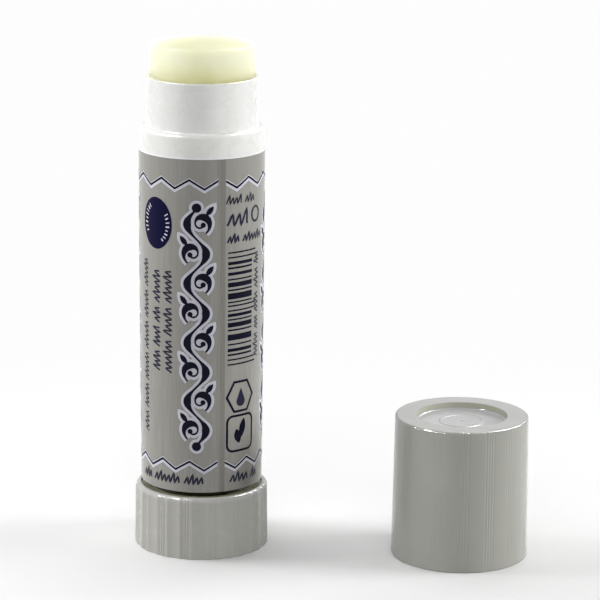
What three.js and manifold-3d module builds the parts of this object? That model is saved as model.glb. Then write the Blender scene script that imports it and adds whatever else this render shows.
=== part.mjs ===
// A glue stick of the twist-up kind, shown open with its cap standing beside it.
// Millimetres, +Z up. The origin is the middle of the face that the knob stands on,
// -Y is the front and the cap stands on the +X side.
import * as THREE from 'three';
import { mergeVertices } from 'three/addons/utils/BufferGeometryUtils.js';
import Module from 'manifold-3d';

const wasm = await Module();
wasm.setup();

// Knob: a fluted skirt under a flat disc, with a hub that takes the foot of the spindle
const knobBaseRadius = 10.45;
const knobTopRadius = 10.34;
const knobHeight = 9.8;
const knobEdgeRound = 0.75;
const knobFootBevel = 0.14;
const knobSkirtWall = 1.35;
const knobDiscThickness = 1.4;
const hubRadius = 4.1;
const stiffenerCount = 8;
const stiffenerThickness = 0.9;
const stiffenerRecess = 1.6;
const bearingCollarRadius = 4.9;
const bearingCollarHeight = 0.4;
const socketFloor = 1.8;

// Flutes round the knob: each pair is a band with fine grooves and a plain hollow band
const knobFlutePairs = 16;
const knobFluteTurn = 5.8;
const groovedBandShare = 0.47;
const groovedBandDepth = 0.1;
const plainBandDepth = 0.16;
const knobFineGrooves = 3;
const knobFineGrooveDepth = 0.1;
const knobFineGroovePitch = 2.4;

// Spindle: a plug in the hub, a journal in the barrel's floor, a catch, and the lead screw
const plugSide = 4;
const journalRadius = 3;
const catchRadius = 3.85;
const catchBand = 0.35;
const catchRamp = 0.85;
const screwTop = 66;
const screwCrestRadius = 2.9;
const screwRootRadius = 2.1;
const screwLead = 6.2;
const screwStarts = 2;
const screwCrestWidth = 0.9;
const screwFlank = 0.5;
const screwTipBevel = 0.6;
const screwRunOut = 0.3;

// Barrel: a tube with a closed floor, a stepped neck for the cap and two keys down its bore
const barrelFoot = 10.5;
const barrelFootRadius = 9.27;
const barrelShoulderRadius = 9.55;
const shoulderHeight = 66.45;
const shoulderRound = 0.7;
const neckRadius = 8.62;
const neckRootRound = 0.15;
const lipHeight = 74;
const lipRound = 0.12;
const boreLipRadius = 8.1;
const boreFloorRadius = 7.9;
const floorThickness = 1.2;
const keyCount = 2;
const keyWidth = 1;
const keyDepth = 0.45;
const keyTop = 67;

// Label: a printed film round the barrel whose ends overlap in a seam
const labelBottom = 10.6;
const labelTop = 62.9;
const labelFilm = 0.1;
const labelGap = 0.02;
const seamAngle = 20.5;
const seamWidth = 7.5;
const seamStep = 0.05;

// Carrier: a cup with a threaded boss, keyed to the barrel
const carrierDiscThickness = 1.2;
const carrierWall = 0.9;
const carrierWallHeight = 7;
const bossRadius = 4.4;
const bossDrop = 0.6;
const bossRise = 7.4;

// Glue: the cast column, with a channel for the screw
const glueTop = 79;
const glueRaised = 6.5;
const glueEdgeRound = 0.6;
const glueChannelRadius = 3.5;
const glueChannelEnd = 0.6;
const glueChannelTaper = 1.2;

// Cap: one moulding with a dished top, grooves round its skirt and ribs that grip the neck
const capX = 40.38;
const capY = -4.7;
const capMouthRadius = 10.58;
const capTopRadius = 10.29;
const capHeight = 22.2;
const capEdgeRound = 0.3;
const capMouthBevel = 0.12;
const capRecessRadius = 6.95;
const capRecessDepth = 1;
const capRoof = 1;
const capWall = 0.95;
const gripRibCount = 12;
const gripRibWidth = 0.8;
const gripRibTop = 17.5;
const capGrooveGroups = 16;
const capGrooveTurn = 0.2;
const capGroovesInGroup = 4;
const capGroovePitch = 2.4;
const capGrooveDepth = 0.1;

// Fits
const runningGap = 0.3;
const plugGap = 0.2;
const threadGap = 0.3;
const glueGap = 0.1;
const capOnBandGap = 0.12;
const gripGap = 0.1;

// Facets
const roundSegments = 60;
const screwSegments = 18;
const roundSteps = 3;
const cutMargin = 1;

const degree = Math.PI / 180;
const mouldedGrey = { color: 0xa3a29d, roughness: 0.45, metalness: 0.0 };

// A ready solid from a three.js geometry
function solidFrom(geometry) {
  const bare = geometry.clone();
  bare.deleteAttribute('normal');
  bare.deleteAttribute('uv');
  const merged = mergeVertices(bare, 1e-5);
  const index = merged.index.array;
  const faces = [];
  for (let i = 0; i < index.length; i += 3) {
    const [a, b, c] = [index[i], index[i + 1], index[i + 2]];
    if (a !== b && b !== c && c !== a) faces.push(a, b, c);
  }
  return new wasm.Manifold(new wasm.Mesh({
    numProp: 3,
    vertProperties: new Float32Array(merged.attributes.position.array),
    triVerts: new Uint32Array(faces),
  }));
}

// The three.js geometry of a solid
function geometryFrom(solid) {
  const mesh = solid.getMesh();
  const geometry = new THREE.BufferGeometry();
  geometry.setAttribute('position', new THREE.BufferAttribute(mesh.vertProperties, 3));
  geometry.setIndex(new THREE.BufferAttribute(mesh.triVerts, 1));
  geometry.computeVertexNormals();
  return geometry;
}

// A solid turned about Z from a profile of [radius, height] points
function turned(profile, segments = roundSegments) {
  const points = profile.map(([radius, height]) => new THREE.Vector2(radius, height));
  return solidFrom(new THREE.LatheGeometry(points, segments).rotateX(Math.PI / 2));
}

// A block, placed by its middle and turned about Z
function block(width, depth, bottom, top, x = 0, y = 0, angle = 0) {
  const geometry = new THREE.BoxGeometry(width, depth, top - bottom);
  geometry.translate(x, y, (bottom + top) / 2);
  geometry.rotateZ(angle);
  return solidFrom(geometry);
}

// A closed solid through a stack of outlines that all have as many points
function stacked(outlines) {
  const count = outlines[0].length;
  const middle = (outline) => new THREE.Vector3(0, 0, outline[0].z);
  const points = [...outlines.flat(), middle(outlines[0]), middle(outlines.at(-1))];
  const bottomMiddle = points.length - 2;
  const topMiddle = points.length - 1;
  const lastRow = (outlines.length - 1) * count;
  const faces = [];
  for (let k = 0; k < count; k++) {
    const next = (k + 1) % count;
    for (let row = 0; row < lastRow; row += count) {
      faces.push(row + k, row + next, row + count + next);
      faces.push(row + k, row + count + next, row + count + k);
    }
    faces.push(bottomMiddle, next, k);
    faces.push(topMiddle, lastRow + k, lastRow + next);
  }
  const geometry = new THREE.BufferGeometry().setFromPoints(points);
  geometry.setIndex(faces);
  return solidFrom(geometry);
}

// One level of such a stack: stations are [angle in degrees, depth below the surface]
function outline(stations, radius, height) {
  return stations.map(([angle, depth]) => new THREE.Vector3(
    (radius - depth) * Math.cos(angle * degree),
    (radius - depth) * Math.sin(angle * degree),
    height,
  ));
}

// The quarter round at the top of a drafted wall, as [inset, drop] pairs
function quarterRound(radius) {
  const steps = Array.from({ length: roundSteps + 1 }, (_, i) => (i / roundSteps) * 90 * degree);
  return steps.map((a) => [radius * (1 - Math.cos(a)), radius * (1 - Math.sin(a))]);
}

// A fine-grooved stretch of an outline, centred on an angle
function fineGrooves(centre, grooves, pitch, baseDepth, grooveDepth) {
  const stations = [];
  const start = centre - (grooves * pitch) / 2;
  for (let g = 0; g < grooves; g++) {
    stations.push([start + g * pitch, baseDepth]);
    stations.push([start + (g + 0.5) * pitch, baseDepth + grooveDepth]);
  }
  stations.push([start + grooves * pitch, baseDepth]);
  return stations;
}

// The outer skin of the knob or the cap: a drafted wall with a bevelled foot and a round edge
function flutedSkin(stations, footRadius, topRadius, height, bevel, edgeRound) {
  const radiusAt = (z) => footRadius + ((topRadius - footRadius) * z) / height;
  const levels = [
    outline(stations, footRadius - bevel, 0),
    outline(stations, radiusAt(bevel), bevel),
  ];
  for (const [inset, drop] of quarterRound(edgeRound)) {
    levels.push(outline(stations, radiusAt(height - drop) - inset, height - drop));
  }
  return stacked(levels);
}

// The helical solid of a left-hand thread with several starts, from below bottom to above top
function helicalSolid(crest, root, crestWidth, flank, bottom, top) {
  const pitch = screwLead / screwStarts;
  const form = [
    [-crestWidth / 2 - flank, root],
    [-crestWidth / 2, crest],
    [crestWidth / 2, crest],
    [crestWidth / 2 + flank, root],
  ];
  const rowsPerLead = form.length * screwStarts;
  const firstPitch = Math.floor((bottom - 3 * screwLead) / pitch);
  const lastPitch = Math.ceil((top + 3 * screwLead) / pitch);
  const rows = [];
  for (let p = firstPitch; p < lastPitch; p++) {
    for (const [offset, radius] of form) rows.push([p * pitch + offset, radius]);
  }
  const count = rows.length;
  rows.forEach((row, j) => {
    if (j <= rowsPerLead || j >= count - 1 - rowsPerLead) row[1] = root;
  });
  const points = [];
  for (let i = 0; i < screwSegments; i++) {
    const angle = (i / screwSegments) * 2 * Math.PI;
    const fall = (screwLead * i) / screwSegments;
    for (const [height, radius] of rows) {
      points.push(new THREE.Vector3(
        radius * Math.cos(angle),
        radius * Math.sin(angle),
        height - fall,
      ));
    }
  }
  const lowMiddle = points.push(new THREE.Vector3(0, 0, rows[0][0] - screwLead)) - 1;
  const highMiddle = points.push(new THREE.Vector3(0, 0, rows[count - 1][0])) - 1;
  const at = (i, j) => (i < screwSegments ? i * count + j : j - rowsPerLead);
  const faces = [];
  for (let i = 0; i < screwSegments; i++) {
    const seam = i === screwSegments - 1;
    const first = seam ? rowsPerLead : 0;
    for (let j = first; j < count - 1; j++) {
      faces.push(at(i, j), at(i + 1, j), at(i + 1, j + 1));
      faces.push(at(i, j), at(i + 1, j + 1), at(i, j + 1));
    }
    faces.push(lowMiddle, at(i + 1, first), at(i, first));
    faces.push(highMiddle, at(i, count - 1), at(i + 1, count - 1));
  }
  for (let j = 0; j < rowsPerLead; j++) {
    faces.push(lowMiddle, at(screwSegments - 1, j + 1), at(screwSegments - 1, j));
    faces.push(highMiddle, count - 1 - rowsPerLead + j, count - rowsPerLead + j);
  }
  const geometry = new THREE.BufferGeometry().setFromPoints(points);
  geometry.setIndex(faces);
  return solidFrom(geometry);
}

// A named mesh in its place
function piece(name, solid, look) {
  const mesh = new THREE.Mesh(geometryFrom(solid), new THREE.MeshStandardMaterial(look));
  mesh.name = name;
  return mesh;
}

// Radii of the drafted tube at a height
const barrelRadiusAt = (z) => barrelFootRadius
  + ((barrelShoulderRadius - barrelFootRadius) * (z - barrelFoot)) / (shoulderHeight - barrelFoot);
const floorTop = barrelFoot + floorThickness;
const boreRadiusAt = (z) => boreFloorRadius
  + ((boreLipRadius - boreFloorRadius) * (z - floorTop)) / (lipHeight - floorTop);

// Heights that follow from how the pieces stack
const collarTop = knobHeight + bearingCollarHeight;
const catchBottom = floorTop + runningGap;
const catchTop = catchBottom + catchBand + catchRamp;
const carrierLowest = catchTop + runningGap + bossDrop;
const carrierDisc = carrierLowest + glueRaised;
const carrierRim = carrierDisc + carrierWallHeight;
const carrierRadius = boreRadiusAt(carrierLowest) - runningGap;
const keyTipRadius = boreFloorRadius - keyDepth;
const keyAngles = Array.from({ length: keyCount }, (_, i) => (i / keyCount) * 2 * Math.PI);

function makeKnob() {
  const pairAngle = 360 / knobFlutePairs;
  const groovedAngle = pairAngle * groovedBandShare;
  const stations = [];
  for (let i = 0; i < knobFlutePairs; i++) {
    const start = knobFluteTurn + i * pairAngle;
    stations.push([start, 0]);
    stations.push(...fineGrooves(start + groovedAngle / 2, knobFineGrooves,
      knobFineGroovePitch, groovedBandDepth, knobFineGrooveDepth));
    stations.push([start + groovedAngle, 0]);
    for (const t of [0.25, 0.5, 0.75]) {
      const angle = start + groovedAngle + t * (pairAngle - groovedAngle);
      stations.push([angle, plainBandDepth * 4 * t * (1 - t)]);
    }
  }
  const skin = flutedSkin(stations, knobBaseRadius, knobTopRadius, knobHeight,
    knobFootBevel, knobEdgeRound);
  const discUnderside = knobHeight - knobDiscThickness;
  const hollow = turned([
    [hubRadius, -cutMargin],
    [knobBaseRadius - knobSkirtWall, -cutMargin],
    [knobBaseRadius - knobSkirtWall, 0],
    [knobTopRadius - knobSkirtWall, discUnderside],
    [hubRadius, discUnderside],
    [hubRadius, -cutMargin],
  ]);
  const reach = (hubRadius + knobBaseRadius) / 2;
  let stiffeners = null;
  for (let i = 0; i < stiffenerCount; i++) {
    const web = block(knobBaseRadius, stiffenerThickness, stiffenerRecess, knobHeight,
      reach, 0, ((i + 0.5) / stiffenerCount) * 2 * Math.PI);
    stiffeners = stiffeners ? stiffeners.add(web) : web;
  }
  const collar = turned([
    [0, discUnderside],
    [bearingCollarRadius, discUnderside],
    [bearingCollarRadius, collarTop],
    [0, collarTop],
  ]);
  const socketSide = plugSide + 2 * plugGap;
  const socket = block(socketSide, socketSide, socketFloor, collarTop + cutMargin);
  const knob = skin.subtract(hollow.subtract(stiffeners)).add(collar).subtract(socket);
  return piece('knob', knob, mouldedGrey);
}

function makeSpindle() {
  const plug = block(plugSide, plugSide, socketFloor + plugGap, collarTop + runningGap);
  const threadBottom = catchTop - screwRunOut;
  const shaft = turned([
    [0, collarTop + plugGap],
    [journalRadius, collarTop + plugGap],
    [journalRadius, catchBottom],
    [catchRadius, catchBottom],
    [catchRadius, catchBottom + catchBand],
    [journalRadius, catchTop],
    [0, catchTop],
  ], screwSegments * 2);
  const trim = turned([
    [0, threadBottom],
    [screwCrestRadius * 2, threadBottom],
    [screwCrestRadius * 2, screwTop - screwTipBevel - screwCrestRadius],
    [screwCrestRadius - screwTipBevel, screwTop],
    [0, screwTop],
  ], screwSegments * 2);
  const helix = helicalSolid(screwCrestRadius, screwRootRadius, screwCrestWidth, screwFlank,
    threadBottom, screwTop);
  return piece('spindle', helix.intersect(trim).add(shaft).add(plug), {
    color: 0xb9b8b2, roughness: 0.45, metalness: 0.0,
  });
}

function makeBarrel() {
  const shoulderStart = shoulderHeight - shoulderRound;
  const edge = quarterRound(shoulderRound);
  const topRadius = barrelRadiusAt(shoulderStart);
  const holeRadius = journalRadius + runningGap;
  const shell = turned([
    [holeRadius, barrelFoot],
    [barrelFootRadius, barrelFoot],
    ...edge.map(([inset, drop]) => [topRadius - inset, shoulderHeight - drop]),
    [neckRadius + neckRootRound, shoulderHeight],
    [neckRadius, shoulderHeight + neckRootRound],
    [neckRadius, lipHeight - lipRound],
    [neckRadius - lipRound, lipHeight],
    [boreLipRadius + lipRound, lipHeight],
    [boreRadiusAt(lipHeight - lipRound), lipHeight - lipRound],
    [boreFloorRadius, floorTop],
    [holeRadius, floorTop],
    [holeRadius, barrelFoot],
  ]);
  const wallMiddle = (boreFloorRadius + barrelFootRadius) / 2;
  let barrel = shell;
  for (const angle of keyAngles) {
    const depth = wallMiddle - keyTipRadius;
    const middle = (wallMiddle + keyTipRadius) / 2;
    const key = block(depth, keyWidth, floorTop - floorThickness / 2, keyTop, middle, 0, angle);
    barrel = barrel.add(key);
  }
  return piece('barrel', barrel, { color: 0xf2f1ec, roughness: 0.35, metalness: 0.0 });
}

function makeLabel() {
  const seamStart = -90 + seamAngle - seamWidth / 2;
  const seamEnd = seamStart + seamWidth;
  const outer = [[seamStart, -labelFilm], [seamEnd, -labelFilm]];
  for (let i = 0; i <= roundSegments; i++) {
    const share = i / roundSegments;
    outer.push([seamEnd + seamStep + share * (360 - seamWidth - 2 * seamStep), 0]);
  }
  const stations = outer.map(([angle]) => [angle, 0]);
  const levels = (ring, growth, bottom, top) => stacked([bottom, top].map(
    (z) => outline(ring, barrelRadiusAt(z) + growth, z),
  ));
  const facetGap = barrelShoulderRadius * (1 - Math.cos(Math.PI / roundSegments));
  const inside = labelGap + facetGap;
  const film = levels(outer, inside + labelFilm, labelBottom, labelTop);
  const bore = levels(stations, inside, labelBottom - cutMargin, labelTop + cutMargin);
  return piece('label', film.subtract(bore), { color: 0x9b9892, roughness: 0.4, metalness: 0.0 });
}

function makeCarrier() {
  const boss = [carrierDisc - bossDrop, carrierDisc + bossRise];
  const cup = turned([
    [0, boss[0]],
    [bossRadius, boss[0]],
    [bossRadius, carrierDisc],
    [carrierRadius, carrierDisc],
    [carrierRadius, carrierRim],
    [carrierRadius - carrierWall, carrierRim],
    [carrierRadius - carrierWall, carrierDisc + carrierDiscThickness],
    [bossRadius, carrierDisc + carrierDiscThickness],
    [bossRadius, boss[1]],
    [0, boss[1]],
  ]);
  const trim = turned([
    [0, boss[0] - cutMargin],
    [bossRadius, boss[0] - cutMargin],
    [bossRadius, boss[1] + cutMargin],
    [0, boss[1] + cutMargin],
  ], screwSegments);
  const thread = helicalSolid(screwCrestRadius + threadGap, screwRootRadius + threadGap,
    screwCrestWidth + 2 * threadGap, screwFlank, boss[0], boss[1]).intersect(trim);
  let carrier = cup.subtract(thread);
  for (const angle of keyAngles) {
    const inner = keyTipRadius - runningGap;
    const outer = carrierRadius + cutMargin;
    const notch = block(outer - inner, keyWidth + 2 * runningGap, carrierDisc - cutMargin,
      carrierRim + cutMargin, (inner + outer) / 2, 0, angle);
    carrier = carrier.subtract(notch);
  }
  return piece('carrier', carrier, { color: 0xeeeeea, roughness: 0.4, metalness: 0.0 });
}

function makeGlue() {
  const glueRadiusAt = (z) => boreRadiusAt(z - glueRaised) - glueGap;
  const base = carrierDisc + carrierDiscThickness + glueGap;
  const rim = carrierRim + glueGap;
  const inCup = carrierRadius - carrierWall - glueGap;
  const bossTop = carrierDisc + bossRise + glueGap;
  const channelTop = screwTop + glueRaised + glueChannelEnd;
  const column = turned([
    [bossRadius + glueGap, base],
    [inCup, base],
    [inCup, rim],
    [glueRadiusAt(rim), rim],
    ...quarterRound(glueEdgeRound).map(
      ([inset, drop]) => [glueRadiusAt(glueTop) - inset, glueTop - drop],
    ),
    [0, glueTop],
    [0, channelTop + glueChannelTaper],
    [glueChannelRadius, channelTop],
    [glueChannelRadius, bossTop],
    [bossRadius + glueGap, bossTop],
    [bossRadius + glueGap, base],
  ]);
  let glue = column;
  for (const angle of keyAngles) {
    const inner = keyTipRadius - runningGap;
    const outer = boreLipRadius + cutMargin;
    const groove = block(outer - inner, keyWidth + 2 * runningGap, rim - cutMargin,
      keyTop + glueRaised + runningGap, (inner + outer) / 2, 0, angle);
    glue = glue.subtract(groove);
  }
  return piece('glue_stick', glue, { color: 0xf3f0cf, roughness: 0.5, metalness: 0.0 });
}

function makeCap() {
  const groupAngle = 360 / capGrooveGroups;
  const groovedAngle = capGroovesInGroup * capGroovePitch;
  const stations = [];
  for (let i = 0; i < capGrooveGroups; i++) {
    const centre = capGrooveTurn + i * groupAngle;
    stations.push(...fineGrooves(centre, capGroovesInGroup, capGroovePitch, 0, capGrooveDepth));
    for (const t of [1 / 3, 2 / 3]) {
      stations.push([centre + groovedAngle / 2 + t * (groupAngle - groovedAngle), 0]);
    }
  }
  const skin = flutedSkin(stations, capMouthRadius, capTopRadius, capHeight,
    capMouthBevel, capEdgeRound);
  const ceiling = capHeight - capRecessDepth - capRoof;
  const bandRadius = barrelRadiusAt(shoulderHeight) + capOnBandGap;
  const bandDepth = shoulderHeight - labelTop + runningGap;
  const innerTop = capTopRadius - capWall;
  const hollow = turned([
    [0, -cutMargin],
    [bandRadius, -cutMargin],
    [bandRadius, bandDepth],
    [innerTop, bandDepth + (bandRadius - innerTop)],
    [innerTop, ceiling - capRoof],
    [innerTop - capRoof, ceiling],
    [0, ceiling],
  ]);
  const recess = turned([
    [0, capHeight - capRecessDepth],
    [capRecessRadius, capHeight - capRecessDepth],
    [capRecessRadius, capHeight + cutMargin],
    [0, capHeight + cutMargin],
  ]);
  const gripRadius = neckRadius + gripGap;
  let ribs = null;
  for (let i = 0; i < gripRibCount; i++) {
    const length = innerTop + capWall / 2 - gripRadius;
    const rib = block(length, gripRibWidth, bandDepth + runningGap, gripRibTop,
      gripRadius + length / 2, 0, ((i + 0.5) / gripRibCount) * 2 * Math.PI);
    ribs = ribs ? ribs.add(rib) : rib;
  }
  const cap = piece('cap', skin.subtract(hollow).subtract(recess).add(ribs), mouldedGrey);
  cap.position.set(capX, capY, 0);
  return cap;
}

const group = new THREE.Group();
group.add(makeBarrel());
group.add(makeLabel());
group.add(makeKnob());
group.add(makeSpindle());
group.add(makeCarrier());
group.add(makeGlue());
group.add(makeCap());

export default group;
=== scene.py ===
"""A twist-up glue stick with its cap off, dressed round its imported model."""
import math

import bmesh
import bpy
from mathutils import Matrix, Vector


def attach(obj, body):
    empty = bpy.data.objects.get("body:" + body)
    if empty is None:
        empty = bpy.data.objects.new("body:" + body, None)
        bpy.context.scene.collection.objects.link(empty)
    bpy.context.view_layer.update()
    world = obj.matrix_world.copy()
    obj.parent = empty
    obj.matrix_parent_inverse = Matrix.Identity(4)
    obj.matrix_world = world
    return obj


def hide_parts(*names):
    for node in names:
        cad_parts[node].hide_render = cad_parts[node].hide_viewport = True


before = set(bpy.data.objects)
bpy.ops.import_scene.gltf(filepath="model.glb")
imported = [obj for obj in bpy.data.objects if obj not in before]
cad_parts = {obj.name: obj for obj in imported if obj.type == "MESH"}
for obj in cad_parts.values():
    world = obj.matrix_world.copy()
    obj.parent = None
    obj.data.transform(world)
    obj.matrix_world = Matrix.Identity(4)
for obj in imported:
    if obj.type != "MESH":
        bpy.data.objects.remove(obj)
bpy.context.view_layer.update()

# Sizes below are in millimetres and angles in degrees, as on the part
MM = 0.001
FULL = 360

# Points across one fine groove
GROOVE_STEPS = 8

# Knob
KNOB_BASE_R = 10.45
KNOB_TOP_R = 10.34
KNOB_HEIGHT = 9.8
KNOB_ROUND = 0.75
KNOB_SKIRT = 1.35
KNOB_DISC = 1.4
KNOB_HUB_R = 4.1
KNOB_COLLAR_R = 4.9
KNOB_COLLAR_TOP = 10.2
KNOB_WEBS = 8
KNOB_WEB_THICKNESS = 0.9
KNOB_WEB_RECESS = 1.6
KNOB_PAIRS = 16
KNOB_TURN = 5.8
KNOB_GROOVED_SHARE = 0.47
KNOB_GROOVED_DEPTH = 0.075
KNOB_PLAIN_DEPTH = 0.18
KNOB_GROOVES = 3
KNOB_GROOVE_DEPTH = 0.07
KNOB_GROOVE_PITCH = 2.4
KNOB_BAND_EDGE = 0.02
KNOB_PLAIN_STEPS = 12
KNOB_FOOT_ROUND = 0.16
KNOB_RIM_R = 9.5
KNOB_LEDGE_OUT_R = 9.38
KNOB_LEDGE_IN_R = 7.8
KNOB_LEDGE_DROP = 0.32
KNOB_HOLLOW_R = 7.7
KNOB_HOLLOW_DROP = 1.05

# Barrel and label
BARREL_FOOT = 10.5
BARREL_FOOT_R = 9.27
BARREL_SHOULDER_R = 9.55
SHOULDER = 66.45
SHOULDER_ROUND = 0.7
NECK_R = 8.62
LIP = 74
BORE_LIP_R = 8.1
BORE_FLOOR_R = 7.9
FLOOR_TOP = 11.7
HOLE_R = 3.3
KEY_TIP_R = 7.45
KEY_DEPTH = 1.0
KEY_WIDTH = 1.0
KEY_TOP = 67
LABEL_BOTTOM = 10.6
LABEL_TOP = 62.9
LABEL_STAND = 0.13
LABEL_CUT_EDGE = 0.12
LABEL_BURIED = -0.1
SEAM_START = 17.2
SEAM_END = 24.3

# Glue
GLUE_R = 8.085
GLUE_FOOT_R = 7.87
GLUE_TOP = 79
GLUE_BASE = 28.1
GLUE_ROUND = 0.5

# Cap
CAP_X = 40.38
CAP_Y = -4.7
CAP_MOUTH_R = 10.58
CAP_TOP_R = 10.29
CAP_HEIGHT = 22.2
CAP_ROUND = 0.3
CAP_FOOT_ROUND = 0.26
CAP_RECESS_R = 6.95
CAP_RECESS = 1.0
CAP_RECESS_LIP = 0.12
CAP_RECESS_FILLET = 0.28
CAP_RING_R = 3.28
CAP_RING_HALF = 0.24
CAP_RING_RISE = 0.07
CAP_RING_ROOT = 0.1
CAP_GATE_DEPTH = 0.14
CAP_BAND_R = 9.67
CAP_BAND_DEPTH = 3.85
CAP_INNER_R = 9.34
CAP_CEILING = 20.2
CAP_CEILING_ROUND = 1
CAP_GROUPS = 16
CAP_TURN = 0.2
CAP_GROOVES = 4
CAP_GROOVE_PITCH = 2.4
CAP_GROOVE_DEPTH = 0.026
CAP_PLAIN_STEPS = 6
CAP_RIBS = 12
CAP_RIB_WIDTH = 0.8
CAP_RIB_TIP_R = 8.72
CAP_RIB_LOW = 4.15
CAP_RIB_TOP = 17.5

# Printing inks stand this far off the film
INK_WHITE = 0.015
INK_NAVY = 0.03


def polar(radius, azimuth, height):
    """A point in millimetres from its radius, azimuth in degrees and height."""
    a = math.radians(azimuth)
    return (radius * math.cos(a), radius * math.sin(a), height)


def add_object(name, mesh, material, smooth_angle=35):
    """A scene object in metres from a mesh in millimetres, shaded smooth except at its corners."""
    mesh.transform(Matrix.Scale(MM, 4))
    mesh.shade_smooth()
    mesh.set_sharp_from_angle(angle=math.radians(smooth_angle))
    mesh.materials.append(material)
    made = bpy.data.objects.new(name, mesh)
    bpy.context.scene.collection.objects.link(made)
    return made


def mesh_from(name, points, faces, solid=True):
    """A mesh from points and faces, with its faces turned outward where it is closed."""
    mesh = bpy.data.meshes.new(name)
    mesh.from_pydata(points, [], faces)
    work = bmesh.new()
    work.from_mesh(mesh)
    bmesh.ops.remove_doubles(work, verts=work.verts, dist=1e-5)
    if solid:
        bmesh.ops.recalc_face_normals(work, faces=work.faces)
    work.to_mesh(mesh)
    work.free()
    return mesh


def ringed(rings, closed=False):
    """Points and faces that join a list of rings; a ring of one point closes an end."""
    points, faces, starts = [], [], []
    for ring in rings:
        starts.append(len(points))
        points.extend(ring)
    pairs = list(zip(range(len(rings)), range(1, len(rings))))
    if closed:
        pairs.append((len(rings) - 1, 0))
    for a, b in pairs:
        count = max(len(rings[a]), len(rings[b]))
        for k in range(count):
            n = (k + 1) % count
            low = [starts[a] + k, starts[a] + n] if len(rings[a]) > 1 else [starts[a]]
            high = [starts[b] + n, starts[b] + k] if len(rings[b]) > 1 else [starts[b]]
            faces.append(low + high)
    return points, faces


def turned(profile, segments=192, closed=False):
    """Points and faces turned about Z from [radius, height] pairs."""
    rings = []
    for radius, height in profile:
        if radius == 0:
            rings.append([(0, 0, height)])
        else:
            rings.append([polar(radius, FULL * i / segments, height) for i in range(segments)])
    return ringed(rings, closed)


def arc(radius, start, end, steps=6):
    """Offsets along an arc, in the plane of a profile."""
    angles = [math.radians(start + (end - start) * i / steps) for i in range(steps + 1)]
    return [(radius * math.cos(a), radius * math.sin(a)) for a in angles]


def rounded_corner(radius, height, size, start, end, steps=6):
    """Profile points round a corner whose arc has its middle at radius, height."""
    return [(radius + r, height + h) for r, h in arc(size, start, end, steps)]


def box_faces(width, depth, bottom, top, reach, azimuth):
    """Points and faces of a block turned about Z, its middle at a reach from the axis."""
    a = math.radians(azimuth)
    points = []
    for z in (bottom, top):
        for x, y in ((-1, -1), (1, -1), (1, 1), (-1, 1)):
            px, py = reach + x * width / 2, y * depth / 2
            points.append((px * math.cos(a) - py * math.sin(a),
                           px * math.sin(a) + py * math.cos(a), z))
    faces = [(3, 2, 1, 0), (4, 5, 6, 7), (0, 1, 5, 4), (1, 2, 6, 5), (2, 3, 7, 6), (3, 0, 4, 7)]
    return points, faces


def joined(parts):
    """Several sets of points and faces as one."""
    points, faces = [], []
    for part_points, part_faces in parts:
        start = len(points)
        points.extend(part_points)
        faces.extend([tuple(start + i for i in face) for face in part_faces])
    return points, faces


# Materials

NOISE_LOW = 0.3
NOISE_HIGH = 0.7


def node_tree(material):
    """A material's emptied nodes with one shader, and that shader."""
    material.use_nodes = True
    tree = material.node_tree
    tree.nodes.clear()
    output = tree.nodes.new("ShaderNodeOutputMaterial")
    shader = tree.nodes.new("ShaderNodeBsdfPrincipled")
    tree.links.new(shader.outputs["BSDF"], output.inputs["Surface"])
    return tree, shader


def noise(tree, scale, detail=2.0, roughness=0.5, stretch=(1, 1, 1)):
    """A noise in the object's own coordinates; scale is in waves to the metre."""
    place = tree.nodes.new("ShaderNodeTexCoord")
    mapping = tree.nodes.new("ShaderNodeMapping")
    mapping.inputs["Scale"].default_value = stretch
    texture = tree.nodes.new("ShaderNodeTexNoise")
    texture.inputs["Scale"].default_value = scale
    texture.inputs["Detail"].default_value = detail
    texture.inputs["Roughness"].default_value = roughness
    tree.links.new(place.outputs["Object"], mapping.inputs["Vector"])
    tree.links.new(mapping.outputs["Vector"], texture.inputs["Vector"])
    return texture


def mapped(tree, source, start, end, low=0.0, high=1.0, smooth=False):
    """A value brought from start..end to low..high."""
    change = tree.nodes.new("ShaderNodeMapRange")
    if smooth:
        change.interpolation_type = "SMOOTHSTEP"
    change.inputs["From Min"].default_value = start
    change.inputs["From Max"].default_value = end
    change.inputs["To Min"].default_value = low
    change.inputs["To Max"].default_value = high
    tree.links.new(source, change.inputs["Value"])
    return change.outputs["Result"]


def mixed(tree, factor, first, second, kind="RGBA", blend="MIX"):
    """A mix by a factor; the second colour or value is another node's output or a constant."""
    mix = tree.nodes.new("ShaderNodeMix")
    mix.data_type = kind
    mix.blend_type = blend
    tree.links.new(factor, mix.inputs["Factor"])
    tree.links.new(first, mix.inputs["A"])
    if isinstance(second, bpy.types.NodeSocket):
        tree.links.new(second, mix.inputs["B"])
    else:
        mix.inputs["B"].default_value = second
    return mix.outputs["Result"]


def calculated(tree, operation, first, second):
    """The result of a sum on two outputs."""
    node = tree.nodes.new("ShaderNodeMath")
    node.operation = operation
    tree.links.new(first, node.inputs[0])
    tree.links.new(second, node.inputs[1])
    return node.outputs["Value"]


def own_place(tree):
    """The X, Y and Z of a point in its object's own coordinates, in metres."""
    place = tree.nodes.new("ShaderNodeTexCoord")
    split = tree.nodes.new("ShaderNodeSeparateXYZ")
    tree.links.new(place.outputs["Object"], split.inputs["Vector"])
    return split.outputs


def ranged(tree, source, low, high):
    """A noise brought from the range that most of it has to low..high."""
    return mapped(tree, source, NOISE_LOW, NOISE_HIGH, low, high)


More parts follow.
